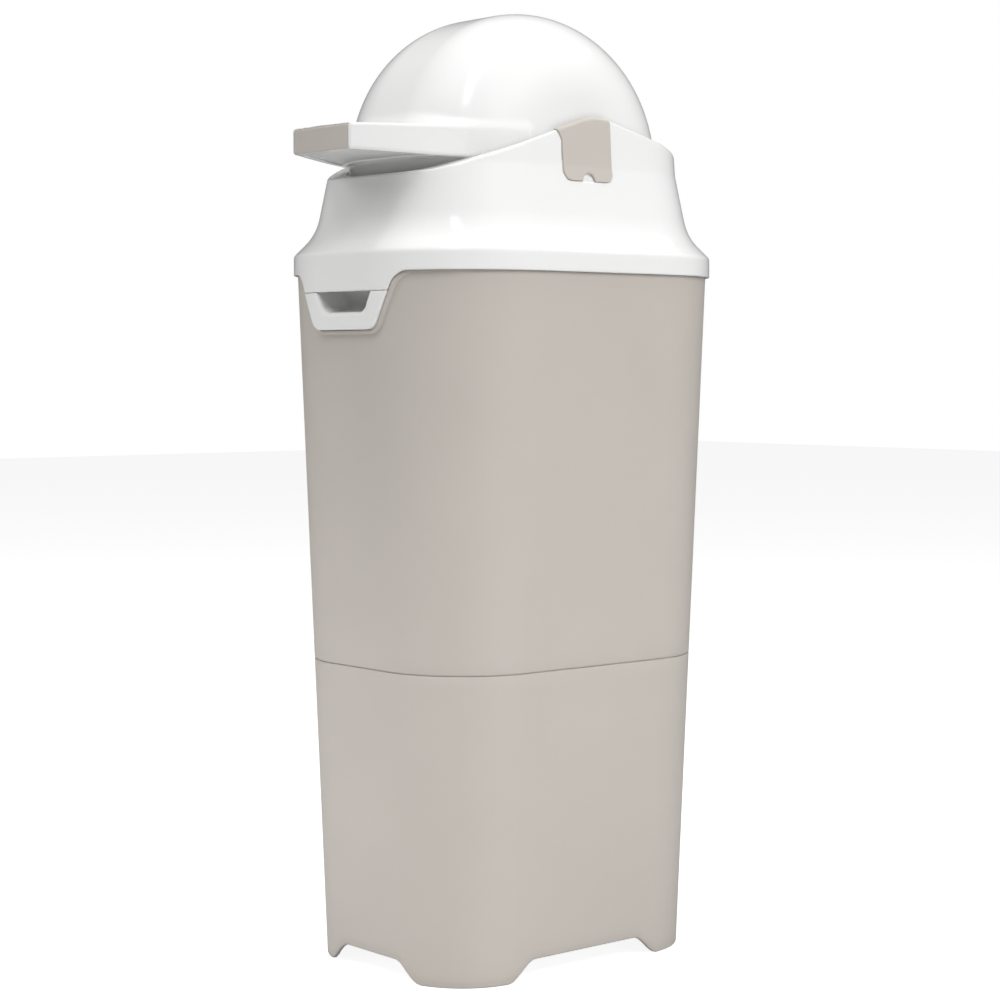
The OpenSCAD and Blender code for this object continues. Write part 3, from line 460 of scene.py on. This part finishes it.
def upper_shell():
    """Upper wall with an opening behind the pull's frame, the raised rim round it and the hinge ears."""
    heights = np.concatenate([np.linspace(SEAM_Z + 1.3, 468, 28), np.linspace(471, RIM_Z - 0.8, 20)])
    foot = [(-WALL, SEAM_Z), (-WALL / 2, SEAM_Z), (-WALL / 2, SEAM_Z + SEAM_GAP), (-0.5, SEAM_Z + SEAM_GAP),
            (-0.15, SEAM_Z + SEAM_GAP + 0.2)]
    top = [(-0.25, RIM_Z - 0.2), (-0.8, RIM_Z), (-WALL + 0.6, RIM_Z)]
    rows = foot + [(0, z) for z in heights] + top + [(-WALL, z) for z in heights[::-1]]
    points = [body_ring(o, z) for o, z in rows]
    n, first, last = len(NORMALS), len(foot), len(rows) - 1
    middle = [(points[first + k] + points[first + k + 1]) / 2 for k in range(len(heights) - 1)]
    middle = [(m + np.roll(m, -1, 0)) / 2 for m in middle]
    open_cell = np.array([(seg_distance(m[:, 0], m[:, 2], BOSS) < -OPENING_IN) & (m[:, 1] < 0)
                          for m in middle])
    outer = lambda k, j: (first + k) * n + j % n
    inner = lambda k, j: (last - k) * n + j % n
    closed = set()
    for k, j in np.argwhere(open_cell):
        closed.add(tuple(sorted((outer(k, j), outer(k, j + 1), outer(k + 1, j + 1), outer(k + 1, j)))))
        closed.add(tuple(sorted((inner(k, j), inner(k, j + 1), inner(k + 1, j + 1), inner(k + 1, j)))))
    faces = [q for q in ring_faces(len(rows), n) if tuple(sorted(q)) not in closed]
    for k, j in np.argwhere(open_cell):
        for dk, dj, ends in ((0, -1, ((k, j), (k + 1, j))), (0, 1, ((k, j + 1), (k + 1, j + 1))),
                             (-1, 0, ((k, j), (k, j + 1))), (1, 0, ((k + 1, j), (k + 1, j + 1)))):
            if not 0 <= k + dk < len(open_cell) or not open_cell[k + dk, (j + dj) % n]:
                p, q = ends
                faces.append((outer(*p), outer(*q), inner(*q), inner(*p)))
    # The rim's section: distances out from the outline of pull and tab, and heights off the body
    section = [(0.4, -0.8), (0.4, 1.7), (0.6, 2.08), (1.0, RIM_PROUD), (1.8, RIM_PROUD), (2.3, 1.98),
               (2.6, 1.4), (2.75, 0.6), (3.3, 0.15), (4.2, -0.8)]
    rim = []
    for o, h in section:
        side = boss_side(o)
        fade = [min(1, max(0, (TAB_END - 1 - x) / RIM_FADE)) if h > 0 else 1 for x, z in side]
        right = [front_point(x, z, h * k) for (x, z), k in zip(side, fade)]
        rim.append([(-x, y, z) for x, y, z in right[::-1]] + right)
    m = len(rim[0])
    rim_verts = np.array(rim).reshape(-1, 3)
    rim_faces = [(i * m + j, i * m + j + 1, (i + 1) % len(rim) * m + j + 1, (i + 1) % len(rim) * m + j)
                 for i in range(len(rim)) for j in range(m - 1)]
    left_end, right_end = [tuple(i * m + k for i in range(len(rim))) for k in (0, m - 1)]
    rim_faces += [left_end, right_end[::-1]]
    knuckle = [(HINGE_Y + KNUCKLE_R * math.cos(a), HINGE_Z + KNUCKLE_R * math.sin(a))
               for a in np.radians(np.linspace(-45, 180, 30))]
    root_y, top_z = RIM[1] - 1.5, RIM_Z - 1.5
    ear = [(root_y, HINGE_Z - EAR_H)] + knuckle + [(HINGE_Y - KNUCKLE_R, top_z), (root_y, top_z)]
    x0, x1 = KNUCKLE_W / 2 + 0.3, KNUCKLE_W / 2 + EAR_W
    parts = join((np.concatenate(points), faces), (rim_verts, rim_faces),
                 prism(ear, x0, x1), prism(ear, -x1, -x0))
    return sharpen(mesh_object("upper_shell", *parts), 50)


def pull_shape(x, y, z):
    """The pull's frame on the body's front, and the finger pocket behind it."""
    out = body_out(x, y, z)
    pocket = seg_distance(x, z, POCKET)
    front, back = -RIM[1] - PULL_PROUD, -RIM[1] - PULL_PROUD + POCKET_DEPTH
    upright = rounded_rect(x, y, SKIRT)
    face = smax(smax(upright, seg_distance(x, z, BOSS), 0.8), z - (SPLIT_Z - 0.4), 0.6)
    face = np.maximum(face, 0.3 - out)
    box = np.maximum(np.maximum(pocket - RING_T, z - (RIM_Z + RING_T)),
                     np.maximum(y - back, rounded_rect(x, y, RIM)))
    draft = POCKET_DRAFT * np.maximum(y - front, 0)
    hole = smax(smax(pocket + draft, y - (back - RING_T), 6), z - (RIM_Z - 0.2), 0.5)
    return np.maximum(np.minimum(face, box), smax(upright, -hole, 3.0))


def bag_ring_loft():
    """Flange on the body's top edge, the upstand for the bag and the skirt, which stops at the pocket."""
    xy = PLAN_RIM
    blend = np.clip((np.abs(xy[:, 0]) - SKIRT_STOP) / SKIRT_STOP_RUN, 0, 1)
    low = np.where(xy[:, 1] < 0, RIM_Z - 0.1 - (RING_SKIRT_H - 0.1) * blend, RIM_Z - RING_SKIRT_H)
    out, inside, up = -UPSTAND_OUT, -UPSTAND_IN, RIM_Z + UPSTAND_H
    flange = RIM_Z + FLANGE_T
    rows = [(out, RIM_Z + 0.05), (-0.4, RIM_Z + 0.05), (0, RIM_Z + 0.4), (0, flange - 0.4), (-0.4, flange),
            (out + 0.4, flange), (out, flange + 0.4), (out, up - 0.5), (out - 0.5, up),
            (inside + 0.5, up), (inside, up - 0.5), (inside, low), (out, low)]
    points = [np.column_stack([xy + o * NORMALS, np.broadcast_to(z, len(xy))]) for o, z in rows]
    return sharpen(mesh_object("bag_ring_rim", np.concatenate(points), ring_faces(len(rows), len(xy))), 50)


# ---------------------------------------------------------------- lid
WEB = [(SKIRT[1] - 1.2, RIM_Z), (HINGE_Y, HINGE_Z - KNUCKLE_R),
       (HINGE_Y, HINGE_Z + KNUCKLE_R), (SKIRT[1] - 1.2, FLARE_Z)]


def clip_outline(y, z):
    return seg_distance(y, z, CLIP)


def lid_shape(x, y, z):
    """The lid: open below, hollowed round the drum, with the clips' seats, axle bores and hinge knuckle."""
    wall, top = lid_wall_out(x, y, z), roof_out(y, z)
    foot = np.where(y < 0, seg_distance(x, z, LID_FOOT), RIM_Z - z)
    lid = smax(smax(wall, top, 1.5), foot, 0.5)
    lid = np.maximum(lid, -np.maximum(rounded_rect(x, y, SKIRT) + LID_WALL, z - PLATE_TOP - 0.2))
    lid = smax(lid, -drum_out(x, y, z, np.where(z < WELL_TOP, 2 * DRUM_GAP + 0.2, DRUM_GAP)), 0.8)
    seat = np.maximum(clip_outline(y, z) - 0.2, -np.maximum(wall, top) - CLIP_DEEP - 0.2)
    lid = np.maximum(lid, -np.maximum(seat, FLANK_X - np.abs(x)))
    bore = np.sqrt(y * y + (z - AXIS_Z) ** 2) - AXLE_R - 0.3
    lid = np.maximum(lid, -np.maximum(bore, FLANK_X - np.abs(x)))
    barrel = np.sqrt((y - HINGE_Y) ** 2 + (z - HINGE_Z) ** 2) - KNUCKLE_R
    knuckle = np.minimum(seg_distance(y, z, WEB), barrel)
    return smin(lid, smax(knuckle, np.abs(x) - KNUCKLE_W / 2, 0.8), 1.5)


def clip_shape(x, y, z):
    """A clip: a band in the lid's wall and over its ridge, with a finger notch in its foot."""
    skin = smax(lid_wall_out(x, y, z), roof_out(y, z), 2.0)
    clip = smax(smax(skin - CLIP_PROUD, clip_outline(y, z), 0.6), DRUM_HW + DRUM_GAP - np.abs(x), 0.5)
    clip = np.maximum(clip, -skin - CLIP_DEEP)
    return smax(clip, NOTCH_R - np.sqrt(y * y + (z - CLIP_FOOT) ** 2), 0.6)


# ---------------------------------------------------------------- drum and handle
def bezier(p0, p1, p2, steps=24):
    """Points on the curve from p0 to p2 that leaves and arrives along the lines through p1."""
    t = np.linspace(0, 1, steps)[:, None]
    return (1 - t) ** 2 * np.array(p0) + 2 * t * (1 - t) * np.array(p1) + t ** 2 * np.array(p2)


HANDLE_CURVE = bezier((HANDLE_TIP_W / 2, -HANDLE_REACH), HANDLE_WAIST, HANDLE_ROOT)
HANDLE_SIDE = both_halves([(HANDLE_TIP_W / 2 - 2, -HANDLE_REACH - 4)] + [tuple(p) for p in HANDLE_CURVE])
BOW_R = ((HANDLE_TIP_W / 2) ** 2 + HANDLE_BOW ** 2) / (2 * HANDLE_BOW)


def bow_out(x, y):
    """Distance outside the handle's bowed front edge."""
    return np.sqrt(x * x + (y + HANDLE_REACH + HANDLE_BOW - BOW_R) ** 2) - BOW_R


def handle_low(y):
    """Height of the handle's underside, which falls a little towards the drum."""
    return HANDLE_Z - UNDER_SLOPE * np.clip(y + UNDER_FROM, 0, UNDER_RUN)


def recess_plan(x, y, z, inset):
    """Distance in plan outside the recess in the handle's underside, drawn in by inset."""
    side, bow, drum = seg_distance(x, y, HANDLE_SIDE), bow_out(x, y), drum_out(x, y, z)
    front = smax(side + RIM_BAND + inset, bow + GRIP_T + DRUM_WALL + inset, 5)
    return smax(front, RECESS_REAR + inset - drum, 4)


def underpanel_shape(x, y, z):
    """Panel that closes the handle from below, a little inside its rim."""
    low = handle_low(y) + PANEL_UP
    thickness = np.abs(z - low - PANEL_T / 2) - PANEL_T / 2
    return smax(recess_plan(x, y, HANDLE_Z, PANEL_GAP), thickness, 0.4)


def dome_shape(x, y, z):
    """The dome with the handle's plate: open below, with the recess, the grip's seat and the inside.

    The fillet between the two is small at the plate's lower edge, grows towards its top and is
    widest at the front.
    """
    drum, side, bow = drum_out(x, y, z), seg_distance(x, y, HANDLE_SIDE), bow_out(x, y)
    low, high, middle = handle_low(y), HANDLE_Z + HANDLE_T, HANDLE_Z + HANDLE_T / 2
    plate = smax(smax(side, bow, 1.5), np.abs(z - (low + high) / 2) - (high - low) / 2, 2.5)
    growth = COVE_REAR - COVE_LOW + (COVE_R - COVE_REAR) * np.clip((COVE_FROM - y) / COVE_RUN, 0, 1)
    cove = COVE_LOW + growth * np.clip((z - HANDLE_Z - 4) / 12, 0, 1)
    dome = smax(smin(drum, plate, cove), DRUM_BOTTOM - z, 0.6)
    dome = smax(dome, -np.maximum(recess_plan(x, y, HANDLE_Z, 0), z - middle), 0.5)
    seat = np.maximum(np.abs(x) - (HANDLE_TIP_W / 2 - GRIP_SIDE),
                      np.maximum(z - (high - GRIP_COVER), -bow - GRIP_T))
    dome = smax(dome, -seat, 0.5)
    cavity = np.maximum(drum + DRUM_WALL, z - (DRUM_BOTTOM + 6))
    chamber = np.maximum(np.sqrt(x * x + y * y) - CHAMBER_OUT, z - CHAMBER_TOP)
    bush = np.maximum(np.sqrt(y * y + (z - AXIS_Z) ** 2) - BUSH_R - 0.05, DRUM_HW - BUSH_L - np.abs(x))
    return np.maximum(dome, -np.minimum(np.minimum(cavity, chamber), bush))


def grip_shape(x, y, z):
    """The grip in the handle's front edge, flush with it at the front and below."""
    low, high = HANDLE_Z, HANDLE_Z + HANDLE_T - GRIP_COVER - FIT
    bow = bow_out(x, y)
    width = np.abs(x) - (HANDLE_TIP_W / 2 - GRIP_SIDE - FIT)
    face = smax(width, np.abs(z - (low + high) / 2) - (high - low) / 2, 1.4)
    return smax(smax(face, bow, 1.2), FIT - GRIP_T - bow, 0.3)


# ---------------------------------------------------------------- finishes
def node(tree, kind, **sockets):
    """A new shader node with fixed values on these sockets; an underscore stands for a space."""
    made = tree.nodes.new("ShaderNode" + kind)
    for name, value in sockets.items():
        made.inputs[name.replace("_", " ")].default_value = value
    return made


def noise(tree, place, scale, detail):
    made = node(tree, "TexNoise", Scale=scale, Detail=detail)
    tree.links.new(place, made.inputs["Vector"])
    return made.outputs["Fac"]


def spread(tree, value, low, high):
    """Maps the middle of a noise's range onto the range from low to high."""
    made = node(tree, "MapRange", From_Min=0.3, From_Max=0.7, To_Min=low, To_Max=high)
    tree.links.new(value, made.inputs["Value"])
    return made.outputs["Result"]


def bumped(tree, height, distance, strength, below=None):
    """A bump normal from this height, on top of the normal below if there is one."""
    made = node(tree, "Bump", Distance=distance, Strength=strength)
    tree.links.new(height, made.inputs["Height"])
    if below is not None:
        tree.links.new(below, made.inputs["Normal"])
    return made.outputs["Normal"]


def finish(name, colour, rough, mottle, grain, grain_scale, wave=0.0, stretch=(1, 1, 1), **fixed):
    """A moulded or rolled surface: slight mottling, uneven gloss, a fine grain and a long wave."""
    mat = bpy.data.materials.new(name)
    mat.use_nodes = True
    tree = mat.node_tree
    shader = tree.nodes["Principled BSDF"]
    for socket, value in fixed.items():
        shader.inputs[socket.replace("_", " ")].default_value = value
    place = node(tree, "TexCoord").outputs["Object"]
    mapping = node(tree, "Mapping", Scale=stretch)
    tree.links.new(place, mapping.inputs["Vector"])
    place = mapping.outputs["Vector"]
    tint = tree.nodes.new("ShaderNodeMix")
    tint.data_type = "RGBA"
    tint.inputs["A"].default_value = [c * (1 - mottle) for c in colour] + [1]
    tint.inputs["B"].default_value = [min(c * (1 + mottle), 1) for c in colour] + [1]
    tree.links.new(spread(tree, noise(tree, place, 14, 4.0), 0, 1), tint.inputs["Factor"])
    tree.links.new(tint.outputs["Result"], shader.inputs["Base Color"])
    gloss = spread(tree, noise(tree, place, 55, 3.0), rough * 0.88, rough * 1.12)
    tree.links.new(gloss, shader.inputs["Roughness"])
    waves = bumped(tree, noise(tree, place, 30, 1.0), 0.002, wave) if wave else None
    normal = bumped(tree, noise(tree, place, grain_scale, 2.0), 0.0002, grain, waves)
    tree.links.new(normal, shader.inputs["Normal"])
    return mat


FINISHES = {
    "body_plastic": finish("taupe_body", (0.556, 0.517, 0.474), 0.46,
                           mottle=0.015, grain=0.16, grain_scale=2600),
    "trim_plastic": finish("taupe_trim", (0.585, 0.544, 0.499), 0.42,
                           mottle=0.015, grain=0.14, grain_scale=2600),
    "white_plastic": finish("gloss_white", (0.88, 0.88, 0.875), 0.13,
                            mottle=0.006, grain=0.03, grain_scale=1200, wave=0.012),
    "inner_plastic": finish("plain_grey", (0.62, 0.62, 0.61), 0.5,
                            mottle=0.02, grain=0.2, grain_scale=2000),
    "seal_rubber": finish("black_rubber", (0.05, 0.05, 0.055), 0.7,
                          mottle=0.12, grain=0.3, grain_scale=1800),
    "steel": finish("zinc_steel", (0.6, 0.6, 0.62), 0.32,
                    mottle=0.06, grain=0.12, grain_scale=900, stretch=(0.15, 1, 1), Metallic=1.0),
}
SLOTS = {part["node"]: part["material_slot"] for part in frame["record"]["subparts"]}


def dress(obj, slot):
    obj.data.materials.clear()
    obj.data.materials.append(FINISHES[slot])


def stand_in(obj, body, nodes):
    """The piece stands for these CAD nodes, takes their finish and rides on their body."""
    slot = SLOTS[nodes[0]]
    dress(obj, slot)
    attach(obj, body)
    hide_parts(*nodes)


for name, cad in frame["nodes"].items():
    dress(cad, SLOTS[name])

stand_in(lower_shell(), "bin", ["lower_body"])
stand_in(upper_shell(), "bin", ["upper_body"])
stand_in(bag_ring_loft(), "bin", ["bag_ring"])

# Surfaces from distances: name, shape, body, CAD node, and the grid lines along X, Y and Z
NETS = (
    ("pull_frame", pull_shape, "bin", "bag_ring",
     [spaced((-69, 0.7), (69, 0)), spaced((-156, 0.6), (-124, 0)), spaced((473.5, 0.6), (520, 0))]),
    ("lid_shell", lid_shape, "lid", "lid_cover",
     [spaced((-123, 1.3), (123, 0)), spaced((-156, 1.3), (176, 0)),
      spaced((501, 0.8), (520, 1.4), (575, 1.2), (634, 0))]),
    ("dome_and_handle", dome_shape, "drum", "drum_dome",
     [spaced((-89, 1.5), (-37, 0.6), (-30, 1.5), (30, 0.6), (37, 1.5), (89, 0)),
      spaced((-177, 0.6), (-165, 1.4), (118, 0)),
      spaced((585.5, 1.2), (596, 0.6), (623, 1.4), (716, 0))]),
    ("handle_underpanel", underpanel_shape, "drum", "handle_underplate",
     [spaced((-80, 0.8), (80, 0)), spaced((-168, 0.8), (-55, 0)), spaced((597, 0.4), (608, 0))]),
    ("handle_grip", grip_shape, "drum", "grip_tip",
     [spaced((-35, 0.5), (35, 0)), spaced((-176, 0.4), (-166, 0)), spaced((600, 0.5), (622, 0))]),
)
for name, shape, body, cad_node, lines in NETS:
    stand_in(nets(name, shape, lines), body, [cad_node])
for side, flip in (("right", False), ("left", True)):
    lines = [spaced((86, 0.5), (106, 0)), spaced((-37, 0.6), (27, 0)), spaced((582, 0.6), (636, 0))]
    clip = nets("side_clip_" + side, clip_shape, lines, flip_x=flip)
    stand_in(clip, side + "_clip", ["clip_" + side])


# ---------------------------------------------------------------- stage
def camera_only(tree):
    """1 for what the camera sees directly and 0 for light that bounces."""
    return tree.nodes.new("ShaderNodeLightPath").outputs["Is Camera Ray"]


def floor_finish():
    """A pale matt floor that reads as white to the far edge and keeps a soft contact shadow."""
    mat = bpy.data.materials.new("pale_floor")
    mat.use_nodes = True
    tree = mat.node_tree
    shader = tree.nodes["Principled BSDF"]
    shader.inputs["Base Color"].default_value = (0.5, 0.5, 0.5, 1)
    shader.inputs["Roughness"].default_value = 0.9
    shader.inputs["Specular IOR Level"].default_value = 0.0
    shader.inputs["Emission Color"].default_value = (1, 1, 1, 1)
    glow = node(tree, "Math")
    glow.operation = "MULTIPLY"
    glow.inputs[1].default_value = 0.9
    tree.links.new(camera_only(tree), glow.inputs[0])
    tree.links.new(glow.outputs["Value"], shader.inputs["Emission Strength"])
    return mat


FLOOR_HALF = 9000
floor_corners = [(FLOOR_HALF * sx, FLOOR_HALF * sy, 0) for sx, sy in ((-1, -1), (1, -1), (1, 1), (-1, 1))]
floor = mesh_object("floor", floor_corners, [(0, 1, 2, 3)], smooth=False)
floor.data.materials.append(floor_finish())


def softbox(name, place, aim, size, power):
    """A rectangular light at this place in metres, turned towards the point aimed at."""
    light = bpy.data.lights.new(name, "AREA")
    light.shape = "RECTANGLE"
    light.size, light.size_y = size
    light.energy = power
    lamp = bpy.data.objects.new(name, light)
    bpy.context.scene.collection.objects.link(lamp)
    lamp.location = place
    lamp.rotation_euler = (Vector(aim) - Vector(place)).to_track_quat("-Z", "Y").to_euler()
    return lamp


# Fills, which light the bin but aren't mirrored in it: name, place, aim, size and power
FILLS = (
    ("key_high", (2.2, 0.0, 2.1), (0, 0, 0.4), (1.6, 1.2), 43),
    ("key_low", (2.6, 0.0, 0.35), (0, 0, 0.35), (1.6, 0.7), 7),
    ("overhead", (0.1, 0.1, 2.6), (0, 0, 0), (1.4, 1.4), 16),
    ("front_top", (-0.2, -1.6, 2.9), (0, 0, 0.4), (1.4, 1.0), 20),
    ("front_left", (-1.7, -1.9, 2.2), (0, 0, 0.4), (1.4, 1.2), 26),
    ("front_floor", (-0.15, -0.65, 0.08), (0, -0.13, 0.12), (0.8, 0.12), 1.5),
    ("side_floor", (0.75, 0.0, 0.08), (0.1, 0, 0.12), (0.8, 0.12), 1.0),
    ("back_right", (1.9, 1.9, 1.3), (0, 0, 0.4), (1.4, 1.8), 4.5),
)
for fill_light in FILLS:
    fill = softbox(*fill_light)
    fill.visible_glossy = fill.visible_camera = False
# Strips, whose mirror images are the highlights on the dome and the lid
softbox("strip", (0.855, -1.22, 2.6), (0, 0, 0.6), (0.35, 1.3), 6)
softbox("rear_strip", (0.35, 1.8, 2.45), (0, 0, 0.6), (0.9, 0.4), 6)

# White behind the bin for the camera, and a dim even light from all round for everything else
world = bpy.data.worlds.new("studio")
bpy.context.scene.world = world
world.use_nodes = True
tree = world.node_tree
tree.nodes.clear()
seen = node(tree, "Background", Color=(1, 1, 1, 1), Strength=1.0)
around = node(tree, "Background", Color=(1, 1, 1, 1), Strength=0.05)
mix = tree.nodes.new("ShaderNodeMixShader")
out = tree.nodes.new("ShaderNodeOutputWorld")
tree.links.new(camera_only(tree), mix.inputs["Fac"])
tree.links.new(around.outputs["Background"], mix.inputs[1])
tree.links.new(seen.outputs["Background"], mix.inputs[2])
tree.links.new(mix.outputs["Shader"], out.inputs["Surface"])
bpy.context.scene.view_settings.view_transform = "Standard"

# Camera of the reference view: in front of the bin, to the side of +X and a little above its middle
camera_data = bpy.data.cameras.new("camera")
camera_data.lens, camera_data.sensor_width, camera_data.shift_x = 84.69, 36.0, -0.00353
camera = bpy.data.objects.new("camera", camera_data)
camera.location = (1.3758, -1.1711, 0.4483)
camera.rotation_euler = (math.radians(90 - 3.233), 0, math.radians(49.596))
bpy.context.scene.collection.objects.link(camera)
bpy.context.scene.camera = camera
